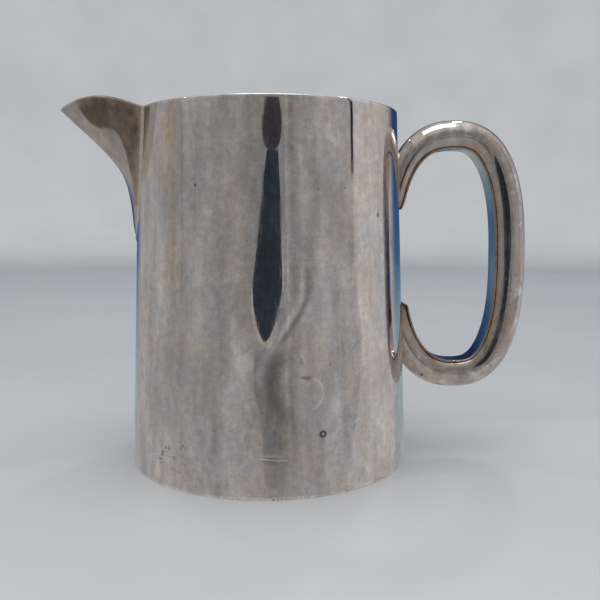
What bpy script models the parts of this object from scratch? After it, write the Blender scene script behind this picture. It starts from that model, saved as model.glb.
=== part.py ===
"""A silver water pitcher: tapered body, beak spout and hollow loop handle, joined with silver solder.

Metres, +Z up. The origin is the centre of the underside. The spout points to -X and the handle to +X.
"""

import math

import bmesh
import bpy
import numpy as np

# Body
RIM_HEIGHT = 0.160
BASE_RADIUS = 0.0652
RIM_RADIUS = 0.0591
WALL = 0.0012
BASE_THICKNESS = 0.0012
WALL_SEGMENTS = 96

# Joints between pieces
GAP = 0.0003
SOLDER_RADIUS = 0.0006

# Spout: its root on the wall, its keel and its lip
SPOUT_FOOT_HEIGHT = 0.1010
SPOUT_ROOT_ANGLE = math.radians(25.0)
SPOUT_SWELL_FOOT = 0.0009
SPOUT_SWELL_LIP = 0.0025
SPOUT_OVERLAP = 0.05
SPOUT_DIVE = 0.03
SPOUT_SHEET = 0.0011
TIP_HEIGHT = 0.1615
LIP_RISE = 0.0053
KEEL_BEND_HEIGHT = 0.134
KEEL_BEND = 0.0103
KEEL_SLOPE = 1.17
KEEL_X_AT_BEND = 0.0629
KEEL_LEAN = 0.04
KEEL_CLOSING = 0.009
NOTCH_ANGLE = math.radians(21.5)
NOTCH_FOOT_HEIGHT = 0.112

# Handle: an upright oval loop, cut by the wall
LOOP_X = 0.0881
LOOP_Z = 0.0943
LOOP_HALF_HEIGHT = 0.0562
LOOP_HALF_WIDTH_OUT = 0.0271
LOOP_HALF_WIDTH_IN = 0.0295
LOOP_POWER_OUT = 2.6
LOOP_POWER_IN = 2.4
LOOP_LEAN = math.radians(0.95)
TONGUE_TOP_Z = 0.1165
TONGUE_BOTTOM_Z = 0.0715
LOOP_STATIONS = 44
HANDLE_RADIUS = 0.0075
HANDLE_SHEET = 0.0010
STRAP_HALF_WIDTH = 0.0054
LIP_HALF_WIDTH = 0.0051
DEPTH_APEX = 0.0061
DEPTH_GRIP = 0.0081
DEPTH_UPPER_ROOT = 0.0034
DEPTH_LOWER_ROOT = 0.0052
DEPTH_TIP = 0.0020
UPPER_TIP_LENGTH = 0.007
LOWER_TIP_LENGTH = 0.002
VENT_RADIUS = 0.0006
VENT_X = 0.0757
VENT_ANGLE = math.radians(48)


def clear_scene():
    for obj in list(bpy.data.objects):
        bpy.data.objects.remove(obj, do_unlink=True)


def silver(name, colour, roughness):
    material = bpy.data.materials.new(name)
    material.use_nodes = True
    shader = material.node_tree.nodes["Principled BSDF"]
    shader.inputs["Base Color"].default_value = (*colour, 1.0)
    shader.inputs["Metallic"].default_value = 1.0
    shader.inputs["Roughness"].default_value = roughness
    return material


def add_object(name, mesh, material, parent=None):
    obj = bpy.data.objects.new(name, mesh)
    bpy.context.scene.collection.objects.link(obj)
    if material is not None:
        obj.data.materials.append(material)
    obj.parent = parent
    return obj


def add_mesh(name, points, faces, material, parent=None):
    mesh = bpy.data.meshes.new(name)
    mesh.from_pydata([tuple(point) for point in points], [], faces)
    shell = bmesh.new()
    shell.from_mesh(mesh)
    bmesh.ops.recalc_face_normals(shell, faces=shell.faces)
    shell.to_mesh(mesh)
    shell.free()
    mesh.shade_smooth()
    mesh.set_sharp_from_angle(angle=math.radians(40))
    return add_object(name, mesh, material, parent)


def cut(obj, cutter):
    cutter.hide_render = True
    cutter.display_type = "WIRE"
    modifier = obj.modifiers.new("cut_" + cutter.name, "BOOLEAN")
    modifier.operation = "DIFFERENCE"
    modifier.solver = "EXACT"
    modifier.object = cutter


def turned(name, profile, material, parent=None, segments=WALL_SEGMENTS):
    """A closed profile of (radius, height) points, turned round Z."""
    count = len(profile)
    points = []
    for step in range(segments):
        angle = 2 * math.pi * step / segments
        for radius, height in profile:
            points.append((radius * math.cos(angle), radius * math.sin(angle), height))
    faces = []
    for step in range(segments):
        here, there = step * count, (step + 1) % segments * count
        for side in range(count):
            after = (side + 1) % count
            faces.append((here + side, there + side, there + after, here + after))
    return add_mesh(name, points, faces, material, parent)


def swept(name, rings, material, parent=None):
    """A closed tube through rings of points, with a flat cap at each end."""
    count = len(rings[0])
    points = [point for ring in rings for point in ring]
    faces = []
    for step in range(len(rings) - 1):
        here, there = step * count, (step + 1) * count
        for side in range(count):
            after = (side + 1) % count
            faces.append((here + side, there + side, there + after, here + after))
    faces.append(tuple(range(count)))
    faces.append(tuple(range(len(points) - count, len(points))))
    return add_mesh(name, points, faces, material, parent)


def solder_run(name, points, cyclic, material, parent):
    curve = bpy.data.curves.new(name, "CURVE")
    curve.dimensions = "3D"
    curve.bevel_depth = SOLDER_RADIUS
    curve.bevel_resolution = 1
    curve.use_fill_caps = True
    spline = curve.splines.new("POLY")
    spline.points.add(len(points) - 1)
    for point, place in zip(spline.points, points):
        point.co = (*place, 1.0)
    spline.use_cyclic_u = cyclic
    return add_object(name, curve, material, parent)


# Body


def wall_radius(height):
    return BASE_RADIUS + (RIM_RADIUS - BASE_RADIUS) * height / RIM_HEIGHT


def wall_profile():
    """Down the outer side and up the inner one, with a softened rim."""
    foot = BASE_THICKNESS + GAP
    soft = WALL / 3
    outer, inner = wall_radius(RIM_HEIGHT), wall_radius(RIM_HEIGHT) - WALL
    return [
        (outer - soft, RIM_HEIGHT),
        (outer, RIM_HEIGHT - soft),
        (wall_radius(foot), foot),
        (wall_radius(foot) - WALL, foot),
        (inner, RIM_HEIGHT - soft),
        (inner + soft, RIM_HEIGHT),
    ]


def notch_half_angle(height):
    """The pouring opening narrows from the rim to a rounded foot."""
    drop = (RIM_HEIGHT - height) / (RIM_HEIGHT - NOTCH_FOOT_HEIGHT)
    return NOTCH_ANGLE * max(0.0, 1 - drop**2) ** (1 / 2.6)


def notch_cutter(parent):
    """A wedge through the wall at -X, whose sides follow the opening's edge."""
    levels = NOTCH_FOOT_HEIGHT + (RIM_HEIGHT - NOTCH_FOOT_HEIGHT) * np.sin(np.linspace(0.03, 1, 14) * math.pi / 2)
    levels = np.append(levels, RIM_HEIGHT + 0.01)
    outline = []
    for height in levels:
        half_width = wall_radius(height) * math.sin(notch_half_angle(min(height, RIM_HEIGHT)))
        outline.append((half_width, height))
    outline += [(-half_width, height) for half_width, height in reversed(outline)]
    rings = [[(x, y, z) for y, z in outline] for x in (-BASE_RADIUS - 0.005, -0.040)]
    return swept("notch_cutter", rings, None, parent)


def make_body(materials, root):
    wall = turned("body_wall", wall_profile(), materials["body"], root)
    cut(wall, notch_cutter(root))
    return wall


def make_base(materials, root):
    soft = BASE_THICKNESS / 3
    edge = wall_radius(0)
    profile = [(edge - soft, BASE_THICKNESS), (edge, BASE_THICKNESS - soft), (edge, soft), (edge - soft, 0.0)]
    points, faces = [], []
    for step in range(WALL_SEGMENTS):
        angle = 2 * math.pi * step / WALL_SEGMENTS
        for radius, height in profile:
            points.append((radius * math.cos(angle), radius * math.sin(angle), height))
    count = len(profile)
    for step in range(WALL_SEGMENTS):
        here, there = step * count, (step + 1) % WALL_SEGMENTS * count
        for side in range(count - 1):
            faces.append((here + side, there + side, there + side + 1, here + side + 1))
    faces.append(tuple(range(0, len(points), count)))
    faces.append(tuple(range(count - 1, len(points), count)))
    return add_mesh("base_plate", points, faces, materials["body"], root)


def make_base_solder(materials, root):
    """A fillet in the inside corner between the wall and the base."""
    foot = BASE_THICKNESS + GAP
    leg = 0.0014
    outer = wall_radius(foot + leg) - WALL - GAP
    profile = [(outer, foot + leg), (outer, foot), (outer - leg, foot)]
    return turned("base_solder", profile, materials["solder"], root)


# Spout


def keel_x(height):
    """How far the keel stands from the axis: nearly upright below, then swept forward."""
    above = height - KEEL_BEND_HEIGHT
    sweep = KEEL_SLOPE * (above + math.hypot(above, KEEL_BEND)) / 2
    return KEEL_X_AT_BEND + KEEL_LEAN * above + sweep


def spout_half_angle(height):
    """Half the angle that the spout's root spans on the wall."""
    drop = (RIM_HEIGHT - height) / (RIM_HEIGHT - SPOUT_FOOT_HEIGHT)
    return SPOUT_ROOT_ANGLE * max(0.0, 1 - drop**2) ** (1 / 2.6)


def lip_rise(share):
    """The lip's arch above the rim: share is 0 at the wall and 1 at the tip."""
    share = min(1.0, max(0.0, share))
    arch = max(0.0, math.sin(math.pi * share**1.22)) ** 0.85
    return LIP_RISE * arch + (TIP_HEIGHT - RIM_HEIGHT) * share


def spout_point(across, level):
    """A point of the spout's outer face.

    Across is 0 on the keel and -1 or 1 where a side meets the wall; beyond that the side dives
    into the wall. Level runs from 0 at the foot to 1 at the lip.
    """
    height = SPOUT_FOOT_HEIGHT + (RIM_HEIGHT - SPOUT_FOOT_HEIGHT) * level
    half_angle = spout_half_angle(height)
    root_x = wall_radius(height) * math.cos(half_angle)
    root_y = wall_radius(height) * math.sin(half_angle)
    closing = min(1.0, (height - SPOUT_FOOT_HEIGHT) / KEEL_CLOSING)
    proud = (keel_x(height) - wall_radius(height)) * math.sqrt(1 - (1 - closing) ** 2)
    keel = wall_radius(height) + proud
    fold = 0.12 + 0.25 * (1 - level) ** 1.5
    drop = (math.hypot(across, fold) - fold) / (math.hypot(1, fold) - fold)
    swell = SPOUT_SWELL_FOOT + (SPOUT_SWELL_LIP - SPOUT_SWELL_FOOT) * level
    side = abs(across)
    out = keel + (root_x - keel) * drop + swell * closing * side * (1 - side**8)
    out -= SPOUT_DIVE * max(0.0, side - 1)
    rise = lip_rise((out - root_x) / (keel - root_x)) * level**4 if level > 0.1 else 0.0
    return (-out, root_y * across, height + rise)


def make_spout(materials, root):
    across = np.linspace(-1 - SPOUT_OVERLAP, 1 + SPOUT_OVERLAP, 29)
    levels = 1 - np.linspace(1, 0, 19) ** 1.4 * 0.998
    grid = [[spout_point(u, v) for u in across] for v in levels]
    wide = len(across)
    points = [point for row in grid for point in row]
    faces = []
    for row in range(len(levels) - 1):
        for column in range(wide - 1):
            first = row * wide + column
            faces.append((first, first + 1, first + wide + 1, first + wide))
    spout = add_mesh("spout", points, faces, materials["spout"], root)
    solid = spout.modifiers.new("sheet", "SOLIDIFY")
    solid.thickness = SPOUT_SHEET
    solid.offset = -1
    solid.use_even_offset = True
    cut(spout, wall_cutter("spout_wall_cutter", GAP, root))
    return spout


def wall_cutter(name, clearance, parent):
    """The body's outer shape grown by a clearance, to trim what is soldered on to it."""
    low, high = -0.02, RIM_HEIGHT + 0.03
    profile = [
        (wall_radius(high) + clearance, high),
        (wall_radius(low) + clearance, low),
        (0.02, low),
        (0.02, high),
    ]
    return turned(name, profile, None, parent)


def make_spout_solder(materials, root):
    """A run down one side of the spout's root, round its foot and up the other."""
    stand_off = GAP + SOLDER_RADIUS
    lowest = SPOUT_FOOT_HEIGHT - 1.5 * stand_off
    turn = np.linspace(-1, 1, 41) * math.pi / 2
    points = []
    for angle in turn:
        height = RIM_HEIGHT - 0.001 - (RIM_HEIGHT - 0.001 - lowest) * math.cos(angle)
        drop = (RIM_HEIGHT - height) / (RIM_HEIGHT - lowest)
        spread = SPOUT_ROOT_ANGLE * max(0.0, 1 - drop**2) ** (1 / 2.6) + 1.9 * stand_off / RIM_RADIUS
        spread *= math.copysign(1, angle) if abs(angle) > 1e-9 else 0
        radius = wall_radius(height) + stand_off
        points.append((-radius * math.cos(spread), radius * math.sin(spread), height))
    return solder_run("spout_solder", points, False, materials["solder"], root)


# Handle


def loop_point(turn):
    """The loop's centre line: turn 0 is at the grip, a quarter turn at the top."""
    cosine, sine = math.cos(turn), math.sin(turn)
    width, power = (
        (LOOP_HALF_WIDTH_OUT, LOOP_POWER_OUT) if cosine > 0 else (LOOP_HALF_WIDTH_IN, LOOP_POWER_IN)
    )
    x = width * math.copysign(abs(cosine) ** (2 / power), cosine)
    z = LOOP_HALF_HEIGHT * math.copysign(abs(sine) ** (2 / power), sine)
    return np.array([LOOP_X + x - math.tan(LOOP_LEAN) * z, LOOP_Z + z])


def loop_path():
    """The centre line from the upper tongue over the grip to the lower one, with the distance along it."""
    path = np.array([loop_point(turn) for turn in np.linspace(math.pi, -math.pi, 1441)])
    upper = np.argmax(path[:, 1] > TONGUE_TOP_Z)
    lower = len(path) - np.argmax(path[::-1, 1] < TONGUE_BOTTOM_Z)
    path = path[upper:lower]
    steps = np.hypot(*np.diff(path, axis=0).T)
    return path, np.concatenate([[0], np.cumsum(steps)])


def loop_stations(count):
    """Places along the loop, closer together at its ends: centre, outward normal and distance from each end."""
    path, length = loop_path()
    near_end = np.array([0, 0.0003, 0.0009, 0.0018, 0.003, 0.005, 0.0075])
    middle = np.linspace(0.011, length[-1] - 0.011, count)
    places = np.concatenate([near_end, middle, length[-1] - near_end[::-1]])

    def point_at(place):
        return np.stack([np.interp(place, length, path[:, axis]) for axis in (0, 1)], axis=1)

    along = point_at(np.minimum(places + 0.001, length[-1])) - point_at(np.maximum(places - 0.001, 0))
    along /= np.linalg.norm(along, axis=1, keepdims=True)
    normal = np.stack([-along[:, 1], along[:, 0]], axis=1)
    return point_at(places), normal, places, length[-1] - places


def tip_share(distance, length):
    """Grows from 0 at a tongue's tip to 1, as a quarter circle does."""
    left = max(0.0, 1 - distance / length)
    return math.sqrt(1 - left**2)


def inner_depths(count):
    """How far inside the centre line the strap lies: deepest at the grip, rounded off at the tongues' tips."""
    depths = []
    for out, above, below in zip(*loop_stations(count)[1:]):
        side = out[0] ** 2
        root = DEPTH_UPPER_ROOT if out[1] > 0 else DEPTH_LOWER_ROOT
        depth = DEPTH_APEX + ((DEPTH_GRIP if out[0] > 0 else root) - DEPTH_APEX) * side
        share = tip_share(above, UPPER_TIP_LENGTH) * tip_share(below, LOWER_TIP_LENGTH)
        depths.append(DEPTH_TIP + (depth - DEPTH_TIP) * share)
    return depths


def shell_outline(radius, lip, depth, steps):
    """Half-round back with sides that curve in to the lips, as (outward, across) points."""
    back = [(radius * math.cos(a), radius * math.sin(a)) for a in np.linspace(0, math.pi / 2, steps)]
    bend = np.linspace(0, math.pi / 2, steps)[1:]
    flank = [(-depth * math.sin(a), lip + (radius - lip) * math.cos(a)) for a in bend]
    half = back + flank
    return [(u, -w) for u, w in reversed(half[1:])] + half


def shell_section(depth):
    lip_depth = depth - HANDLE_SHEET - GAP
    outer = shell_outline(HANDLE_RADIUS, LIP_HALF_WIDTH, lip_depth, 6)
    inner = shell_outline(HANDLE_RADIUS - HANDLE_SHEET, LIP_HALF_WIDTH - HANDLE_SHEET, lip_depth, 6)
    return outer + inner[::-1]


def strap_section(depth):
    low, high = -depth, -depth + HANDLE_SHEET
    soft = HANDLE_SHEET / 4
    wide = STRAP_HALF_WIDTH
    return [
        (low, wide - soft),
        (low + soft, wide),
        (high, wide),
        (high, -wide),
        (low + soft, -wide),
        (low, -wide + soft),
    ]


def on_loop(place, out, section):
    """Points of a section, (outward, across), at one place of the loop."""
    return [(place[0] + out[0] * u, w, place[1] + out[1] * u) for u, w in section]


def along_loop(section_at):
    centre, normal = loop_stations(LOOP_STATIONS)[:2]
    depths = inner_depths(LOOP_STATIONS)
    return [on_loop(*station, section_at(depth)) for *station, depth in zip(centre, normal, depths)]


def vent_cutter(parent):
    """A small drill through the shell's near lower side, square to its surface."""
    centre, normal = loop_stations(400)[:2]
    lower = [i for i in range(len(centre)) if centre[i][1] < LOOP_Z]
    station = min(lower, key=lambda i: abs(centre[i][0] - VENT_X))
    out = np.array([normal[station][0], 0.0, normal[station][1]])
    drill = out * math.cos(VENT_ANGLE) + np.array([0.0, -1.0, 0.0]) * math.sin(VENT_ANGLE)
    side = np.cross(drill, out)
    side /= np.linalg.norm(side)
    other = np.cross(drill, side)
    middle = np.array([centre[station][0], 0.0, centre[station][1]])
    rings = []
    for reach in (HANDLE_RADIUS - 0.003, HANDLE_RADIUS + 0.003):
        ring = []
        for angle in np.linspace(0, 2 * math.pi, 10, endpoint=False):
            around = side * math.cos(angle) + other * math.sin(angle)
            ring.append(tuple(middle + drill * reach + around * VENT_RADIUS))
        rings.append(ring)
    return swept("vent_cutter", rings, None, parent)


def make_handle(materials, root):
    shell = swept("handle_shell", along_loop(shell_section), materials["handle"], root)
    cut(shell, wall_cutter("shell_wall_cutter", GAP, root))
    cut(shell, vent_cutter(root))
    strap = swept("handle_strap", along_loop(strap_section), materials["handle"], root)
    cut(strap, wall_cutter("strap_wall_cutter", GAP, root))
    return shell, strap


def root_outline(upper):
    """Where the handle's outside, grown by the solder's stand-off, meets the wall, and on round the tongue's tip."""
    grow = GAP + SOLDER_RADIUS
    centre, normal = loop_stations(400)[:2]
    depths = inner_depths(400)
    order = range(200) if upper else range(len(centre) - 1, 200, -1)
    rings = []
    for i in order:
        section = shell_outline(HANDLE_RADIUS + grow, STRAP_HALF_WIDTH + grow, depths[i] + grow, 9)
        rings.append(on_loop(centre[i], normal[i], section))
    rails = np.array(rings)
    clearance = np.hypot(rails[:, :, 0], rails[:, :, 1]) - wall_radius(rails[:, :, 2]) - grow
    tip_height = centre[order[0]][1] - math.copysign(grow, 1 if upper else -1)
    points = []
    for rail in range(rails.shape[1]):
        first = int(np.argmax(clearance[:, rail] > 0))
        if first > 0:
            points.append(rails[first, rail])
        else:
            across = rails[0, rail, 1]
            radius = wall_radius(tip_height) + grow
            points.append((math.sqrt(radius**2 - across**2), across, tip_height))
    return points


def make_handle_solder(materials, root):
    for name, upper in (("handle_upper_solder", True), ("handle_lower_solder", False)):
        solder_run(name, root_outline(upper), True, materials["solder"], root)


def main():
    clear_scene()
    root = bpy.data.objects.new("pitcher", None)
    bpy.context.scene.collection.objects.link(root)
    materials = {
        "body": silver("body_silver", (0.62, 0.59, 0.57), 0.22),
        "spout": silver("spout_silver", (0.58, 0.53, 0.48), 0.26),
        "handle": silver("handle_silver", (0.62, 0.58, 0.55), 0.20),
        "solder": silver("silver_solder", (0.66, 0.62, 0.56), 0.32),
    }
    make_body(materials, root)
    make_base(materials, root)
    make_base_solder(materials, root)
    make_spout(materials, root)
    make_spout_solder(materials, root)
    make_handle(materials, root)
    make_handle_solder(materials, root)


main()
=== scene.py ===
"""Looks of the silver water pitcher: fine meshes round the CAD frame, worn silver, and a plain studio.

Metres, +Z up. The spout points to -X, the handle to +X, and the camera stands at -Y.
"""

import math

import bmesh
import bpy
import numpy as np
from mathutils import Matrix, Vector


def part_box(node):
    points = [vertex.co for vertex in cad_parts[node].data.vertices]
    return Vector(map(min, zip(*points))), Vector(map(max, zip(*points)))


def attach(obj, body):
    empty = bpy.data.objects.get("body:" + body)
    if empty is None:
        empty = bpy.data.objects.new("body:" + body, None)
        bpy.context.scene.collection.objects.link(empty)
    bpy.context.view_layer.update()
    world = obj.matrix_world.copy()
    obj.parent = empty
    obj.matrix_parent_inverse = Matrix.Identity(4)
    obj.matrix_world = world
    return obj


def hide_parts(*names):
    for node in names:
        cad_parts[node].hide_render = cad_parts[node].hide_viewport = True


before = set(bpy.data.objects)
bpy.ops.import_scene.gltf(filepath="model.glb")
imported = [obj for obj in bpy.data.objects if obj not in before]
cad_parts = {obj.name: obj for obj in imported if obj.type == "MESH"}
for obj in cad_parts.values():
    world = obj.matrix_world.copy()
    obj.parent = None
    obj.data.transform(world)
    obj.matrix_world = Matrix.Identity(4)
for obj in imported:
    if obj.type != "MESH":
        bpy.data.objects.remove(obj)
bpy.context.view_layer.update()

MM = 0.001

# Sheet thicknesses, and how far one piece sinks into another where they are soldered
SHEET = 1.2 * MM
SPOUT_SHEET = 1.1 * MM
STRAP_SHEET = 1.0 * MM
SINK = 0.1 * MM
RIM_FLATNESS = 0.75

# Spout: the same curves as the CAD spout's
SPOUT_FOOT = 101 * MM
SPOUT_HALF_ANGLE = math.radians(25.0)
SPOUT_SWELL_FOOT = 0.9 * MM
SPOUT_SWELL_LIP = 2.5 * MM
SPOUT_OVERLAP = 0.05
SPOUT_DIVE = 0.03
TIP_HEIGHT = 161.5 * MM
LIP_RISE = 5.3 * MM
KEEL_BEND_HEIGHT = 134 * MM
KEEL_BEND = 10.3 * MM
KEEL_SLOPE = 1.17
KEEL_X_AT_BEND = 62.9 * MM
KEEL_LEAN = 0.04
KEEL_CLOSING = 9 * MM
OPENING_HALF_ANGLE = math.radians(21.5)
OPENING_FOOT = 112 * MM

# Handle: the same loop as the CAD handle's
LOOP_X = 88.1 * MM
LOOP_HALF_WIDTH_OUT = 27.1 * MM
LOOP_HALF_WIDTH_IN = 29.5 * MM
LOOP_POWER_OUT = 2.6
LOOP_POWER_IN = 2.4
LOOP_LEAN = math.radians(0.95)
UPPER_TONGUE_ABOVE = 22.2 * MM
LOWER_TONGUE_BELOW = 22.8 * MM
LIP_HALF_WIDTH = 5.1 * MM
STRAP_HALF_WIDTH = 5.5 * MM
DEPTH_APEX = 6.1 * MM
DEPTH_GRIP = 8.1 * MM
DEPTH_UPPER_ROOT = 3.4 * MM
DEPTH_LOWER_ROOT = 5.2 * MM
DEPTH_TIP = 2.0 * MM
UPPER_TIP_LENGTH = 7 * MM
LOWER_TIP_LENGTH = 2 * MM
FLANK_POWER = 1.35
VENT_RADIUS = 0.6 * MM
VENT_X = 75.7 * MM
VENT_ANGLE = math.radians(48)

# Stage: the camera, and the stand that the wall mirrors
VIEW_PLACE = (0, -0.3366, 0.1126)
VIEW_DOWN = math.radians(6.65)
VIEW_TO_RIGHT = math.radians(2.475)
VIEW_LENS = 42.36
STAND_DISTANCE = 1.0
STAND_TOP = 0.302
STAND_WIDEST_AT = 0.068
STAND_HALF_WIDTH = 0.2065
STAND_DROP = 0.104
STAND_CURVE = 0.108
STAND_TAPER = 0.52
STAND_LEAN = 0.40
STAND_MIDDLE = -0.031
STAND_CAMERA = (0.048, 0.351)
STAND_CAMERA_HALF = (0.145, 0.050)


# Measures of the frame


def node_points(name):
    return np.array([vertex.co[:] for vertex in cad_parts[name].data.vertices])


def measured_wall():
    """Foot height and radius, rim height, and shoulder radius and height of the CAD wall's outer face."""
    points = node_points("body_wall")
    radius = np.hypot(points[:, 0], points[:, 1])
    low, high = points[:, 2].min(), points[:, 2].max()
    shoulder = points[:, 2] > high - SHEET / 2
    top = points[shoulder, 2][np.argmax(radius[shoulder])]
    return low, radius[points[:, 2] < low + SINK].max(), high, radius[shoulder].max(), top


FOOT_HEIGHT, FOOT_RADIUS, RIM_HEIGHT, SHOULDER_RADIUS, SHOULDER_HEIGHT = measured_wall()
WALL_SLOPE = (SHOULDER_RADIUS - FOOT_RADIUS) / (SHOULDER_HEIGHT - FOOT_HEIGHT)
HANDLE_LOW, HANDLE_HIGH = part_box("handle_shell")
HANDLE_RADIUS = (HANDLE_HIGH.y - HANDLE_LOW.y) / 2
LOOP_Z = (HANDLE_HIGH.z + HANDLE_LOW.z) / 2
LOOP_HALF_HEIGHT = (HANDLE_HIGH.z - HANDLE_LOW.z) / 2 - HANDLE_RADIUS


def wall_radius(height):
    return FOOT_RADIUS + WALL_SLOPE * (height - FOOT_HEIGHT)


# Mesh helpers


def unit(vectors):
    return vectors / np.maximum(np.linalg.norm(vectors, axis=-1, keepdims=True), 1e-12)


def smoothstep(value, low, high):
    share = np.clip((value - low) / (high - low), 0, 1)
    return share * share * (3 - 2 * share)


def lattice(name, grid, wrap_rows=False, wrap_columns=False, caps=False):
    """A mesh over a grid of points; caps close the first and last rows of a tube."""
    rows, columns = grid.shape[:2]
    index = np.arange(rows * columns).reshape(rows, columns)
    below = index if wrap_rows else index[:-1]
    above = np.roll(index, -1, axis=0) if wrap_rows else index[1:]
    if not wrap_columns:
        corners = (below[:, :-1], below[:, 1:], above[:, 1:], above[:, :-1])
    else:
        corners = (below, np.roll(below, -1, axis=1), np.roll(above, -1, axis=1), above)
    faces = np.stack([corner.ravel() for corner in corners], axis=1).tolist()
    if caps:
        faces += [index[0].tolist(), index[-1].tolist()]
    mesh = bpy.data.meshes.new(name)
    mesh.from_pydata(grid.reshape(-1, 3).tolist(), [], faces)
    shell = bmesh.new()
    shell.from_mesh(mesh)
    bmesh.ops.recalc_face_normals(shell, faces=shell.faces)
    shell.to_mesh(mesh)
    shell.free()
    mesh.shade_smooth()
    piece = bpy.data.objects.new(name, mesh)
    bpy.context.scene.collection.objects.link(piece)
    return piece


def cut(piece, cutter):
    modifier = piece.modifiers.new("cut", "BOOLEAN")
    modifier.operation = "DIFFERENCE"
    modifier.solver = "EXACT"
    modifier.object = cutter
    cutter.hide_render = True


def settle(piece, sharp=40):
    """Applies the modifiers, removes the cutters and keeps edges crisp past an angle."""
    cutters = [modifier.object for modifier in piece.modifiers if modifier.type == "BOOLEAN"]
    graph = bpy.context.evaluated_depsgraph_get()
    mesh = bpy.data.meshes.new_from_object(piece.evaluated_get(graph))
    piece.modifiers.clear()
    piece.data = mesh
    mesh.shade_smooth()
    mesh.set_sharp_from_angle(angle=math.radians(sharp))
    for cutter in cutters:
        bpy.data.objects.remove(cutter, do_unlink=True)


def vertices_of(piece):
    points = np.empty(len(piece.data.vertices) * 3)
    piece.data.vertices.foreach_get("co", points)
    return points.reshape(-1, 3)


def paint(piece, name, values):
    """Stores one number per vertex for the material to read."""
    layer = piece.data.attributes.new(name, "FLOAT", "POINT")
    layer.data.foreach_set("value", np.asarray(values, np.float32))


def paint_evenly(piece, tarnish_and_painted_shade, pits):
    count = len(piece.data.vertices)
    paint(piece, "tarnish_and_painted_shade", np.full(count, tarnish_and_painted_shade))
    paint(piece, "pits", np.full(count, pits))


def wall_cutter():
    """A cone a little inside the wall's outer face, to trim what is soldered on to it."""
    low, high = -0.02, RIM_HEIGHT + 0.03
    angles = np.linspace(0, 2 * math.pi, 360, endpoint=False)
    low_radius, high_radius = wall_radius(low) - SINK, wall_radius(high) - SINK
    profile = [(0.02, low), (low_radius, low), (high_radius, high), (0.02, high)]
    grid = [[(r * math.cos(a), r * math.sin(a), z) for r, z in profile] for a in angles]
    return lattice("wall_cutter", np.array(grid), wrap_rows=True, wrap_columns=True)


def fillet(name, corner, away, up, width, cyclic, steps=7):
    """A concave run of solder in the corner line between the wall (away) and a part (up)."""
    share = np.linspace(0, 1, steps)[:, None, None]
    hollow = corner + 0.22 * width[:, None] * (away + up)
    first, last = corner + width[:, None] * away, corner + width[:, None] * up
    curve = (1 - share) ** 2 * first + 2 * share * (1 - share) * hollow + share**2 * last
    inside = corner - 0.35 * width[:, None] * unit(away + up)
    low_side, up_side = first - SINK * up, last - SINK * away
    grid = np.concatenate([low_side[None], curve, up_side[None], inside[None]])
    return lattice(name, grid.transpose(1, 0, 2), wrap_rows=cyclic, wrap_columns=True, caps=not cyclic)


def resample(points, count, cyclic, *others):
    """Evenly spaced points along a line, with what belongs to each point carried along."""
    if cyclic:
        points = np.concatenate([points, points[:1]])
        others = [np.concatenate([other, other[:1]]) for other in others]
    length = np.concatenate([[0], np.cumsum(np.linalg.norm(np.diff(points, axis=0), axis=1))])
    even = np.linspace(0, length[-1], count + 1)[:-1] if cyclic else np.linspace(0, length[-1], count)

    def spread(values):
        return np.stack([np.interp(even, length, values[:, i]) for i in range(values.shape[1])], axis=1)

    return [spread(values) for values in (points, *others)]


def soften(values, cyclic, rounds=3):
    for _ in range(rounds):
        before, after = np.roll(values, 1, axis=0), np.roll(values, -1, axis=0)
        smoothed = (before + 2 * values + after) / 4
        if not cyclic:
            smoothed[0], smoothed[-1] = values[0], values[-1]
        values = smoothed
    return values


def corner_frame(corner, rail, cyclic, outward_from):
    """For a corner line on the wall: directions along the wall away from a part, and up the part."""
    if cyclic:
        along = unit(np.roll(corner, -1, axis=0) - np.roll(corner, 1, axis=0))
    else:
        along = unit(np.gradient(corner, axis=0))
    wall_normal = corner * [1, 1, 0]
    wall_normal = unit(wall_normal) + [0, 0, -WALL_SLOPE]
    away = unit(np.cross(along, unit(wall_normal)))
    away *= np.where(((corner - outward_from) * away).sum(axis=1) < 0, -1, 1)[:, None]
    up = unit(rail - (rail * along).sum(axis=1)[:, None] * along)
    return away, up


# Body


def around_degrees(points):
    """Angle round the axis, 0 towards the camera and positive towards the handle."""
    return np.degrees(np.arctan2(points[..., 0], -points[..., 1]))


def bump(angle, height, at_angle, at_height, wide, tall, depth):
    """A soft dent, or a swelling when depth is negative. Sizes in millimetres."""
    across = (angle - at_angle) * math.radians(1) * FOOT_RADIUS / MM
    return -depth * np.exp(-((across / wide) ** 2) - ((height - at_height) / tall) ** 2)


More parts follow.
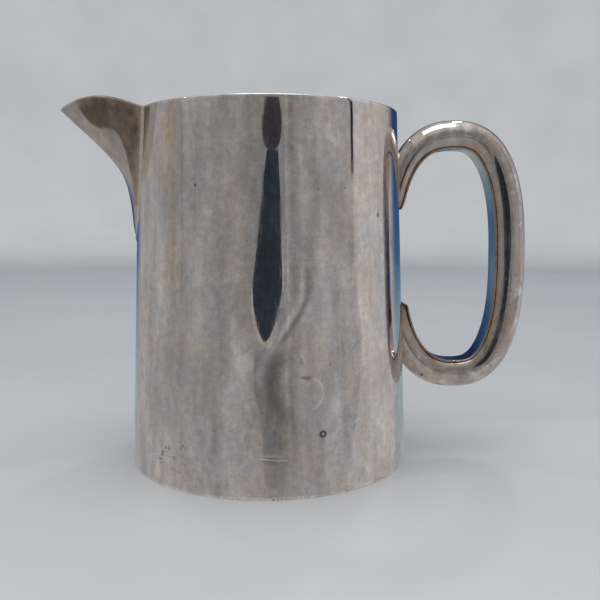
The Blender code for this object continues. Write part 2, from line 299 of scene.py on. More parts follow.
def dents(angle, height):
    """How far the outer face stands out of a true cone, in millimetres. Height in millimetres."""
    rng = np.random.default_rng(11)
    out = np.zeros(np.broadcast(angle, height).shape)
    for _ in range(90):
        at_angle = rng.uniform(-180, 180)
        near = (angle - at_angle + 180) % 360 - 180
        wide = rng.uniform(6, 14)
        tall = wide * rng.uniform(1, 2)
        out += bump(near, height, 0, rng.uniform(0, 160), wide, tall, rng.uniform(-0.10, 0.10))
    for _ in range(60):
        at_angle = rng.uniform(-180, 180)
        near = (angle - at_angle + 180) % 360 - 180
        size = rng.uniform(3, 7)
        out += bump(near, height, 0, rng.uniform(5, 155), size, size * 1.5, rng.uniform(-0.02, 0.02))
    # the knock low on the near side, with its raised and folded edge
    out += bump(angle, height, 14, 47, 8.5, 9, 0.28)
    out += bump(angle, height, 18.5, 45, 2.2, 2.5, -0.10)
    out += bump(angle, height, 15.5, 51, 2.6, 1.0, 0.10)
    out += bump(angle, height, -3, 52, 5.0, 9, 0.08)
    out += bump(angle, height, 1, 17, 7, 0.9, 0.05)
    calm = smoothstep(height, 1, 8) * (1 - smoothstep(height, 152, 159.5))
    spout_side = 1 - np.exp(-(((angle + 90) / 30) ** 4)) * smoothstep(height, 88, 100)
    root = np.exp(-(((angle - 90) / 14) ** 4))
    handle_side = 1 - root * smoothstep(height, 25, 35) * (1 - smoothstep(height, 145, 155))
    return out * calm * spout_side * handle_side


def rim_profile():
    """Over the rim from the outer face to the inner one, as (inward, below) in metres."""
    turn = np.linspace(0, math.pi, 11)[1:-1]
    half = SHEET / 2
    return [(half - half * math.cos(a), RIM_FLATNESS * half * (1 - math.sin(a))) for a in turn]


def make_wall():
    angles = np.radians(np.arange(0, 360, 0.75)) - math.pi / 2
    degrees = (np.degrees(angles) + 90 + 180) % 360 - 180
    edge = RIM_FLATNESS * SHEET / 2
    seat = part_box("base_plate")[1].z + 0.02 * MM
    outer = np.linspace(seat, RIM_HEIGHT - edge, 170)
    inner = np.linspace(RIM_HEIGHT - edge, seat, 60)
    rows = []
    for height in outer:
        rows.append((wall_radius(height) + dents(degrees, height / MM) * MM, height))
    for inward, below in rim_profile():
        rows.append((np.full_like(angles, wall_radius(RIM_HEIGHT) - inward), RIM_HEIGHT - below))
    for height in inner:
        rows.append((wall_radius(height) - SHEET + dents(degrees, height / MM) * MM, height))
    grid = np.empty((len(rows), len(angles), 3))
    for row, (radius, height) in enumerate(rows):
        grid[row, :, 0] = radius * np.cos(angles)
        grid[row, :, 1] = radius * np.sin(angles)
        grid[row, :, 2] = height
    wall = lattice("wall", grid, wrap_rows=True, wrap_columns=True)
    cut(wall, opening_cutter())
    settle(wall)
    paint_wall(wall)
    return wall


def opening_cutter():
    """A wedge through the wall behind the spout, whose sides follow the opening's edge."""
    heights = OPENING_FOOT + (RIM_HEIGHT - OPENING_FOOT) * np.sin(np.linspace(0.02, 1, 30) * math.pi / 2)
    drop = (RIM_HEIGHT - heights) / (RIM_HEIGHT - OPENING_FOOT)
    half_angle = OPENING_HALF_ANGLE * (1 - drop**2) ** (1 / 2.6)
    half_width = wall_radius(heights) * np.sin(half_angle)
    side = [*zip(half_width, heights), (half_width[-1], RIM_HEIGHT + 0.01)]
    outline = side + [(-y, z) for y, z in reversed(side)]
    grid = [[(x, y, z) for y, z in outline] for x in (-0.075, -0.040)]
    return lattice("opening_cutter", np.array(grid), wrap_columns=True, caps=True)


def seam_distance(points, line):
    """Distance of each point to the nearest point of a line."""
    best = np.full(len(points), np.inf)
    for place in line:
        best = np.minimum(best, ((points - place) ** 2).sum(axis=1))
    return np.sqrt(best)


def paint_wall(wall):
    points = vertices_of(wall)
    angle, height = around_degrees(points), points[:, 2] / MM
    outside = np.hypot(points[:, 0], points[:, 1]) > wall_radius(points[:, 2]) - SHEET * 0.6
    spout_seam = seam_distance(points, spout_corner(120)[0]) / MM
    roots = np.minimum(*(seam_distance(points, handle_corner(upper, 60)[0]) for upper in (True, False))) / MM
    tarnish_and_painted_shade = 0.45 * np.exp(-spout_seam / 1.6) + 0.8 * np.exp(-roots / 1.6)
    # A browner patch beside the spout's seam: tarnished, with a painted reflection of the spout in it.
    tarnish_and_painted_shade += 0.35 * np.exp(-(((angle + 62) / 16) ** 2) - ((height - 135) / 26) ** 2)
    tarnish_and_painted_shade -= 0.4 * smoothstep(height, RIM_HEIGHT / MM - 1.0, RIM_HEIGHT / MM - 0.3)
    tarnish_and_painted_shade = np.where(outside, tarnish_and_painted_shade, 0.35 + 0.5 * np.exp(-height / 5))
    pits = np.exp(-(((angle + 42) / 13) ** 2) - ((height - 14) / 9) ** 2)
    pits += 0.8 * np.exp(-(((angle - 32) / 10) ** 2) - ((height - 8) / 7) ** 2)
    pits += 0.5 * np.exp(-(((angle - 34) / 8) ** 2) - ((height - 45) / 12) ** 2)
    paint(wall, "tarnish_and_painted_shade", tarnish_and_painted_shade)
    paint(wall, "pits", np.where(outside, pits, 0.3))


def make_base():
    low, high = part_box("base_plate")
    edge = (high.x - low.x) / 2
    soft, crisp = 0.35 * MM, 0.1 * MM
    turn = np.linspace(0, math.pi / 2, 6)
    upper = [(edge - crisp + crisp * math.sin(a), high.z - crisp + crisp * math.cos(a)) for a in turn]
    lower = [(edge - soft + soft * math.cos(a), low.z + soft - soft * math.sin(a)) for a in turn]
    top = [(edge * share, high.z) for share in np.linspace(0.02, 0.985, 24)]
    under = [(edge * share, low.z) for share in np.linspace(0.985, 0.02, 24)]
    profile = top + upper + lower + under
    angles = np.linspace(0, 2 * math.pi, 288, endpoint=False)
    grid = np.array([[(r * math.cos(a), r * math.sin(a), z) for a in angles] for r, z in profile])
    wobble = 0.12 * MM * (np.sin(3 * angles + 0.4) + 0.6 * np.sin(7 * angles + 2))
    middle = np.exp(-((np.array([r for r, _ in profile]) / (0.6 * edge)) ** 2))
    upside = np.array([z > (low.z + high.z) / 2 for _, z in profile])
    grid[:, :, 2] += np.outer(middle * upside, wobble)
    base = lattice("base", grid, wrap_columns=True, caps=True)
    base.data.set_sharp_from_angle(angle=math.radians(50))
    points = vertices_of(base)
    radius = np.hypot(points[:, 0], points[:, 1])
    inside = (points[:, 2] > high.z - 0.1 * MM) & (radius < edge - 1.5 * MM)
    corner = smoothstep(radius / edge, 0.93, 0.99) * inside
    paint(base, "tarnish_and_painted_shade", np.where(inside, 0.45, -0.12) + 0.4 * corner)
    paint(base, "pits", np.where(inside, 0.5, 0.6))
    return base


def make_base_fillet():
    """The run of solder in the inside corner, a little wider and narrower along its way."""
    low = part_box("base_solder")[0]
    angles = np.linspace(0, 2 * math.pi, 240, endpoint=False)
    leg = 1.5 * MM * (1 + 0.16 * np.sin(5 * angles + 1) + 0.1 * np.sin(13 * angles))
    outer = wall_radius(low.z) - SHEET
    rings = []
    for angle, width in zip(angles, leg):
        turn = np.linspace(0, math.pi / 2, 7)
        bow = [(outer - width + width * math.sin(a), low.z + width - width * math.cos(a)) for a in turn]
        inside = [(outer + SINK, low.z + width), (outer + SINK, low.z - SINK), (outer - width, low.z - SINK)]
        profile = inside + bow
        rings.append([(r * math.cos(angle), r * math.sin(angle), z) for r, z in profile])
    run = lattice("base_fillet", np.array(rings), wrap_rows=True, wrap_columns=True)
    paint_evenly(run, 0.7, 0.4)
    return run


# Spout


def keel_x(height):
    above = height - KEEL_BEND_HEIGHT
    return KEEL_X_AT_BEND + KEEL_LEAN * above + KEEL_SLOPE * (above + np.hypot(above, KEEL_BEND)) / 2


def spout_half_angle(height):
    drop = (RIM_HEIGHT - height) / (RIM_HEIGHT - SPOUT_FOOT)
    return SPOUT_HALF_ANGLE * np.clip(1 - drop**2, 0, 1) ** (1 / 2.6)


def spout_face(across, level):
    """The spout's outer face: level runs 0 to 1 from foot to lip, and across is 0 on the keel.

    Across is -1 or 1 where a side meets the wall; beyond that the side dives into the wall.
    """
    height = SPOUT_FOOT + (RIM_HEIGHT - SPOUT_FOOT) * level
    half_angle = spout_half_angle(height)
    radius = wall_radius(height)
    root_x = radius * np.cos(half_angle)
    root_y = radius * np.sin(half_angle)
    closing = np.clip((height - SPOUT_FOOT) / KEEL_CLOSING, 0, 1)
    keel = radius + (keel_x(height) - radius) * np.sqrt(1 - (1 - closing) ** 2)
    fold = 0.12 + 0.25 * (1 - level) ** 1.5
    drop = (np.hypot(across, fold) - fold) / (np.hypot(1, fold) - fold)
    swell = SPOUT_SWELL_FOOT + (SPOUT_SWELL_LIP - SPOUT_SWELL_FOOT) * level
    side = np.abs(across)
    out = keel + (root_x - keel) * drop + swell * closing * side * (1 - side**8)
    out = out - SPOUT_DIVE * np.maximum(side - 1, 0)
    share = np.clip((out - root_x) / np.maximum(keel - root_x, 0.1 * MM), 0, 1)
    arch = np.clip(np.sin(math.pi * share**1.22), 0, 1) ** 0.85
    rise = (LIP_RISE * arch + (TIP_HEIGHT - RIM_HEIGHT) * share) * level**4
    return np.stack([-out, root_y * across, height + rise], axis=-1)


def spout_corner(count):
    """Where the spout's outer face meets the wall, from one end of the lip round the foot to the other."""
    turn = np.linspace(-1, 1, 401) * math.pi / 2
    level = (1 - np.cos(turn)) * 0.9999 + 0.0001
    side = np.sign(turn) + (turn == 0)
    corner = spout_face(side, level)
    rail = spout_face(side * 0.97, level) - corner
    rail[np.abs(turn) < 0.08] = [-0.45, 0, 1]
    return resample(corner, count, False, unit(rail))


def make_spout():
    across = np.sin(np.linspace(-1, 1, 97) * math.pi / 2) * 0.35 + np.linspace(-1, 1, 97) * 0.65
    across *= 1 + SPOUT_OVERLAP
    level = 1 - np.linspace(1, 0, 85) ** 1.4 * 0.998
    grid = spout_face(across[None, :], level[:, None])
    ripple = 0.05 * MM * np.sin(level * 17 + 1)[:, None] * np.sin(across * 5 + level[:, None] * 6)
    grid[:, :, 0] -= ripple * np.clip(1 - across**2, 0, 1)
    spout = lattice("spout_sheet", grid)
    solid = spout.modifiers.new("sheet", "SOLIDIFY")
    solid.thickness = SPOUT_SHEET
    solid.offset = -1 if spout_faces_out(spout) else 1
    solid.use_even_offset = True
    edge = spout.modifiers.new("soft_edge", "BEVEL")
    edge.width = 0.45 * MM
    edge.segments = 4
    edge.limit_method = "ANGLE"
    edge.angle_limit = math.radians(60)
    cut(spout, wall_cutter())
    settle(spout, sharp=50)
    points = vertices_of(spout)
    seam = seam_distance(points, spout_corner(120)[0]) / MM
    height = points[:, 2] / MM
    out = -points[:, 0] / MM
    half_width = wall_radius(points[:, 2]) * np.sin(spout_half_angle(points[:, 2]))
    side = np.abs(points[:, 1]) / np.maximum(half_width, MM)
    # The side is painted dark above an edge line, with a darker core and a darker fringe along that edge: a
    # painted reflection of a dark part of the room, with painted shade at its edge.
    dark = smoothstep(height, painted_shade_edge(out) - 1.2, painted_shade_edge(out) + 0.6)
    lip = height - lip_height(points) / MM
    bare = smoothstep(lip, -0.9, -0.25)
    core = np.exp(-(((out - 79) / 10) ** 2) - ((height - 157) / 5) ** 2)
    painted_shadow_fringe = np.exp(-(((height - painted_shade_edge(out) - 0.8) / 1.3) ** 2))
    # Tarnished colour; the dark area and the sides away from the keel are painted darker, a painted
    # reflection; cleaner at the worn lip.
    tarnish_and_painted_shade = (0.16 + 0.40 * dark + 0.14 * smoothstep(side, 0.2, 0.5)) * (1 - 0.9 * bare)
    tarnish_and_painted_shade -= 0.25 * np.exp(-seam / 1.5) + 0.4 * bare
    paint(spout, "tarnish_and_painted_shade", tarnish_and_painted_shade)
    # This layer holds only painted shade: the painted dark area, its core and its fringe.
    painted_shade_cover = dark * (0.5 + 0.4 * core + 0.2 * painted_shadow_fringe) * smoothstep(-lip, 0.3, 5)
    paint(spout, "stain_and_painted_shade", painted_shade_cover * (1 - bare) * smoothstep(seam, 0.5, 4))
    paint(spout, "pits", 0.1 + 0.15 * dark)
    return spout


def painted_shade_edge(out):
    """Height above which the spout's side is painted dark, a painted reflection, by distance from the axis.
    Both in millimetres.
    """
    root, shelf, end = 60, 75, 86
    climb = 35 * (1 - np.exp(-np.maximum(out - root, 0) / 2.9))
    turn_up = 10 * (np.maximum(out - shelf, 0) / (end - shelf)) ** 2
    return 118 + climb + turn_up


def lip_height(points):
    """Height of the lip's top edge beside each point."""
    lip = spout_face(np.linspace(0, 1, 60), 1.0)
    order = np.argsort(-lip[:, 0])
    return np.interp(-points[:, 0], -lip[order, 0], lip[order, 2])


def spout_faces_out(spout):
    """Whether the middle face's normal points away from the body."""
    return spout.data.polygons[len(spout.data.polygons) // 2].normal.x < 0


def make_spout_fillet():
    corner, rail = spout_corner(150)
    away, up = corner_frame(corner, rail, False, np.array([-0.06, 0, 0.14]))
    share = np.linspace(-1, 1, len(corner))
    width = (1.25 + 0.2 * np.cos(share * 9) + 0.5 * np.exp(-((share / 0.12) ** 2))) * MM
    run = fillet("spout_fillet", corner, soften(away, False), soften(up, False), width, cyclic=False)
    paint_evenly(run, 0.12, 0.3)
    return run


# Handle


def loop_path():
    """The centre line from the upper tongue over the grip to the lower one, with the distance along it."""
    turn = np.linspace(math.pi, -math.pi, 2881)
    cosine, sine = np.cos(turn), np.sin(turn)
    right = cosine > 0
    width = np.where(right, LOOP_HALF_WIDTH_OUT, LOOP_HALF_WIDTH_IN)
    power = np.where(right, LOOP_POWER_OUT, LOOP_POWER_IN)
    x = width * np.sign(cosine) * np.abs(cosine) ** (2 / power)
    z = LOOP_HALF_HEIGHT * np.sign(sine) * np.abs(sine) ** (2 / power)
    path = np.stack([LOOP_X + x - math.tan(LOOP_LEAN) * z, LOOP_Z + z], axis=1)
    upper = np.argmax(path[:, 1] > LOOP_Z + UPPER_TONGUE_ABOVE)
    lower = len(path) - np.argmax(path[::-1, 1] < LOOP_Z - LOWER_TONGUE_BELOW)
    path = path[upper:lower]
    steps = np.hypot(*np.diff(path, axis=0).T)
    return path, np.concatenate([[0], np.cumsum(steps)])


def loop_stations(count):
    """Centre, outward normal and strap depth at places along the loop, closer together at its ends."""
    path, length = loop_path()
    near_end = 7.5 * MM * np.linspace(0, 1, 14) ** 1.6
    middle = np.linspace(near_end[-1] + 1.2 * MM, length[-1] - near_end[-1] - 1.2 * MM, count)
    places = np.concatenate([near_end, middle, length[-1] - near_end[::-1]])

    def point_at(place):
        return np.stack([np.interp(place, length, path[:, i]) for i in (0, 1)], axis=1)

    ahead, behind = np.minimum(places + MM, length[-1]), np.maximum(places - MM, 0)
    along = unit(point_at(ahead) - point_at(behind))
    normal = np.stack([-along[:, 1], along[:, 0]], axis=1)
    root = np.where(normal[:, 1] > 0, DEPTH_UPPER_ROOT, DEPTH_LOWER_ROOT)
    target = np.where(normal[:, 0] > 0, DEPTH_GRIP, root)
    depth = DEPTH_APEX + (target - DEPTH_APEX) * normal[:, 0] ** 2
    upper_tip = np.clip(1 - places / UPPER_TIP_LENGTH, 0, 1)
    lower_tip = np.clip(1 - (length[-1] - places) / LOWER_TIP_LENGTH, 0, 1)
    share = np.sqrt(1 - upper_tip**2) * np.sqrt(1 - lower_tip**2)
    return point_at(places), normal, DEPTH_TIP + (depth - DEPTH_TIP) * share


def shell_outline(radius, lip, depth, steps):
    """Half-round back with sides that curve in to the lips, as (outward, across) points."""
    back = [(radius * math.cos(a), radius * math.sin(a)) for a in np.linspace(0, math.pi / 2, steps)]
    bend = np.linspace(0, math.pi / 2, steps)[1:]
    sine, cosine = np.sin(bend) ** FLANK_POWER, np.maximum(np.cos(bend), 0) ** FLANK_POWER
    flank = list(zip(-depth * sine, lip + (radius - lip) * cosine))
    half = back + flank
    return [(u, -w) for u, w in reversed(half[1:])] + half


def shell_section(depth):
    lip_depth = depth - STRAP_SHEET - 0.1 * MM
    outer = shell_outline(HANDLE_RADIUS, LIP_HALF_WIDTH, lip_depth, 17)
    inner = shell_outline(HANDLE_RADIUS - STRAP_SHEET, LIP_HALF_WIDTH - STRAP_SHEET, lip_depth, 9)
    return outer + inner[::-1]


def strap_section(depth):
    """A flat strip with rounded edges and a slightly hollow face."""
    half = STRAP_SHEET / 2
    wide = STRAP_HALF_WIDTH
    turn = np.linspace(-math.pi / 2, math.pi / 2, 7)
    edge = [(-depth + half + half * math.sin(a), wide - 0.6 * half + 0.6 * half * math.cos(a)) for a in turn]
    face = [(-depth + 0.12 * MM * (1 - (w / wide) ** 2), w) for w in np.linspace(-0.8, 0.8, 9) * wide]
    back = [(-depth + STRAP_SHEET, w) for w in np.linspace(0.7, -0.7, 5) * wide]
    other = [(u, -w) for u, w in reversed(edge)]
    return face + edge + back + other


def along_loop(section_at, count):
    centre, normal, depths = loop_stations(count)
    rings = []
    for place, out, depth in zip(centre, normal, depths):
        rings.append([(place[0] + out[0] * u, w, place[1] + out[1] * u) for u, w in section_at(depth)])
    return np.array(rings)


def loop_place(points):
    """Share along the loop, outward distance and strap depth of each point."""
    centre, normal, depths = loop_stations(200)
    flat = points[:, [0, 2]]
    nearest = np.array([np.argmin(((centre - point) ** 2).sum(axis=1)) for point in flat])
    outward = ((flat - centre[nearest]) * normal[nearest]).sum(axis=1)
    return nearest / (len(centre) - 1), outward, depths[nearest]


def paint_handle(piece, seam_strength):
    points = vertices_of(piece)
    share, outward, depth = loop_place(points)
    across = np.abs(points[:, 1])
    off_seam = np.hypot(outward + depth - STRAP_SHEET, across - LIP_HALF_WIDTH) / MM
    roots = np.minimum(*(seam_distance(points, handle_corner(upper, 60)[0]) for upper in (True, False))) / MM
    flank = smoothstep(-outward / MM, 0, 5) * smoothstep(across / HANDLE_RADIUS, 0.5, 0.75)
    tarnish_and_painted_shade = seam_strength * np.exp(-off_seam / 0.7) + 0.6 * np.exp(-roots / 3) + 0.42 * flank
    inner = smoothstep((-outward) / depth, 0.85, 0.99)
    tarnish_and_painted_shade += 0.12 * inner * (1 - seam_strength)
    paint(piece, "tarnish_and_painted_shade", tarnish_and_painted_shade)
    paint(piece, "pits", 0.15 + 0.2 * np.exp(-(((share - 0.55) / 0.08) ** 2)))


def vent_cutter():
    """A small drill through the shell's near lower side, square to its surface."""
    centre, normal, _ = loop_stations(300)
    lower = np.where(centre[:, 1] < LOOP_Z)[0]
    station = lower[np.argmin(np.abs(centre[lower, 0] - VENT_X))]
    out = np.array([normal[station, 0], 0.0, normal[station, 1]])
    drill = out * math.cos(VENT_ANGLE) + np.array([0.0, -1.0, 0.0]) * math.sin(VENT_ANGLE)
    side = unit(np.cross(drill, out))
    other = np.cross(drill, side)
    middle = np.array([centre[station, 0], 0.0, centre[station, 1]])
    rings = []
    for reach in (HANDLE_RADIUS - 3 * MM, HANDLE_RADIUS + 3 * MM):
        turn = np.linspace(0, 2 * math.pi, 20, endpoint=False)
        end = middle + drill * reach
        rings.append([end + (side * math.cos(a) + other * math.sin(a)) * VENT_RADIUS for a in turn])
    return lattice("vent_cutter", np.array(rings), wrap_columns=True, caps=True)


def make_handle_back():
    grid = along_loop(shell_section, 230)
    shell = lattice("handle_back", grid, wrap_columns=True, caps=True)
    cut(shell, wall_cutter())
    cut(shell, vent_cutter())
    settle(shell)
    paint_handle(shell, 0.45)
    return shell


def make_handle_strap():
    strap = lattice("handle_inner_strap", along_loop(strap_section, 230), wrap_columns=True, caps=True)
    cut(strap, wall_cutter())
    settle(strap, sharp=60)
    paint_handle(strap, 0.25)
    return strap


def handle_corner(upper, count):
    """The closed line where the handle's outside meets the wall, and round under the tongue's tip."""
    centre, normal, depths = loop_stations(700)
    if not upper:
        centre, normal, depths = centre[::-1], normal[::-1], depths[::-1]
    half = len(centre) // 2
    rings = []
    for place, out, depth in zip(centre[:half], normal[:half], depths[:half]):
        section = shell_outline(HANDLE_RADIUS, STRAP_HALF_WIDTH, depth, 13)
        rings.append([(place[0] + out[0] * u, w, place[1] + out[1] * u) for u, w in section])
    rails = np.array(rings)
    clearance = np.hypot(rails[:, :, 0], rails[:, :, 1]) - wall_radius(rails[:, :, 2])
    down = -1.0 if upper else 1.0
    corner, direction = [], []
    for rail in range(rails.shape[1]):
        first = int(np.argmax(clearance[:, rail] > 0))
        if first == 0:
            continue
        before, after = clearance[first - 1, rail], clearance[first, rail]
        share = -before / (after - before)
        corner.append(rails[first - 1, rail] * (1 - share) + rails[first, rail] * share)
        direction.append(rails[min(first + 6, half - 1), rail] - rails[first, rail])
    tip_height = centre[0, 1]
    for across in np.linspace(0.8, -0.8, 9) * STRAP_HALF_WIDTH:
        radius = wall_radius(tip_height)
        corner.append(np.array([math.sqrt(radius**2 - across**2), across, tip_height]))
        direction.append(np.array([1.0, 0.0, -0.3 * down]))
    return resample(np.array(corner), count, True, unit(np.array(direction)))


def make_handle_fillet(name, upper):
    corner, rail = handle_corner(upper, 130)
    corner, rail = soften(corner, True, 2), soften(rail, True, 4)
    away, up = corner_frame(corner, rail, True, corner.mean(axis=0))
    high = corner[:, 2] - corner[:, 2].min()
    high = high / high.max()
    crown = smoothstep(high, 0.75, 1) if upper else smoothstep(1 - high, 0.8, 1)
    width = (0.75 + (1.3 if upper else 0.5) * crown) * MM
    run = fillet(name, corner, soften(away, True), soften(up, True), width, cyclic=True)
    paint_evenly(run, 0.55, 0.3)
    return run


# Materials


class Graph:
    """Short calls for building a node tree."""

    def __init__(self, tree):
        self.tree = tree

    def node(self, kind, settings=(), **inputs):
        made = self.tree.nodes.new(kind)
        for name, value in settings:
            setattr(made, name, value)
        for name, value in inputs.items():
            self.feed(made.inputs[name.replace("_", " ")], value)
        return made

    def feed(self, socket, value):
        if isinstance(value, bpy.types.NodeSocket):
            self.tree.links.new(value, socket)
        else:
            socket.default_value = value

    def math(self, operation, *values, clamp=False):
        made = self.tree.nodes.new("ShaderNodeMath")
        made.operation = operation
        made.use_clamp = clamp
        for socket, value in zip(made.inputs, values):
            self.feed(socket, value)
        return made.outputs[0]

    def add(self, *values):
        total = values[0]
        for value in values[1:]:
            total = self.math("ADD", total, value)
        return total

    def minus(self, value, other):
        return self.math("SUBTRACT", value, other)

    def times(self, *values):
        total = values[0]
        for value in values[1:]:
            total = self.math("MULTIPLY", total, value)
        return total

    def weigh(self, *pairs):
        """The values added up, each times its weight."""
        total = 0.0
        for value, weight in pairs:
            total = self.math("MULTIPLY_ADD", value, weight, total)
        return total

    def fade(self, value, start, end, low=0.0, high=1.0):
        """A smooth step from low at start to high at end."""
        made = self.node("ShaderNodeMapRange", [("interpolation_type", "SMOOTHSTEP")], Value=value)
        for name, number in (("From Min", start), ("From Max", end), ("To Min", low), ("To Max", high)):
            self.feed(made.inputs[name], number)
        return made.outputs[0]

    def ridge(self, value, centre, width):
        """1 where value is centre, falling softly to 0 within width of it."""
        off = self.math("ABSOLUTE", self.minus(value, centre))
        return self.fade(off, 0.0, width, 1.0, 0.0)

    def ramp(self, value, *stops, ease="EASE"):
        """A colour ramp. Each stop is (position, grey) or (position, (red, green, blue))."""
        made = self.node("ShaderNodeValToRGB", Fac=value)
        made.color_ramp.interpolation = ease
        elements = made.color_ramp.elements
        while len(elements) < len(stops):
            elements.new(0.5)
        for element, (position, colour) in zip(elements, stops):
            element.position = position
            rgb = colour if isinstance(colour, tuple) else (colour,) * 3
            element.color = (*rgb, 1.0)
        return made.outputs[0]

    def curve(self, value, *points):
        """A smooth curve through (value, result) points, given in value order."""
        low, high = points[0][0], points[-1][0]
        results = [result for _, result in points]
        least, most = min(results), max(results)
        share = self.fade_linear(value, low, high)
        made = self.node("ShaderNodeFloatCurve", Value=share)
        line = made.mapping.curves[0]
        while len(line.points) < len(points):
            line.points.new(0.5, 0.5)
        for point, (place, result) in zip(line.points, points):
            point.location = ((place - low) / (high - low), (result - least) / (most - least))
        made.mapping.update()
        return self.math("MULTIPLY_ADD", made.outputs[0], most - least, least)

    def fade_linear(self, value, low, high):
        return self.math("DIVIDE", self.minus(value, low), high - low, clamp=True)

    def mix(self, share, first, second, blend="MIX"):
        made = self.tree.nodes.new("ShaderNodeMix")
        made.data_type = "RGBA"
        made.blend_type = blend
        self.feed(made.inputs[0], share)
        self.feed(made.inputs[6], (*first, 1.0) if isinstance(first, tuple) else first)
        self.feed(made.inputs[7], (*second, 1.0) if isinstance(second, tuple) else second)
        return made.outputs[2]

    def noise(self, place, scale, detail=3.0, roughness=0.5, stretch=(1, 1, 1), turn=(0, 0, 0)):
        mapping = self.node("ShaderNodeMapping", Vector=place, Scale=stretch, Rotation=turn)
        made = self.node("ShaderNodeTexNoise", Vector=mapping.outputs[0])
        self.feed(made.inputs["Scale"], scale)
        self.feed(made.inputs["Detail"], detail)
        self.feed(made.inputs["Roughness"], roughness)
        return made.outputs[0]

    def oval(self, place, at, size, turn=0.0):
        """Distance from a point, as a share of an oval's half-lengths."""
        mapping = self.node("ShaderNodeMapping", [("vector_type", "TEXTURE")], Vector=place)
        self.feed(mapping.inputs["Location"], (*at, 0.0))
        self.feed(mapping.inputs["Rotation"], (0.0, 0.0, math.radians(turn)))
        self.feed(mapping.inputs["Scale"], (*size, 1.0))
        made = self.node("ShaderNodeVectorMath", [("operation", "LENGTH")], Vector=mapping.outputs[0])
        return made.outputs["Value"]

    def spot(self, place, at, size, turn=0.0, core=0.4):
        return self.fade(self.oval(place, at, size, turn), core, 1.0, 1.0, 0.0)


POLISHED = (0.90, 0.885, 0.87)
CLEAN = (0.77, 0.74, 0.725)
TAN = (0.50, 0.42, 0.345)
BROWN = (0.20, 0.155, 0.12)
NEARLY_BLACK = (0.05, 0.04, 0.035)
WARM = (1.03, 0.985, 0.945)
COOL = (0.965, 0.99, 1.03)


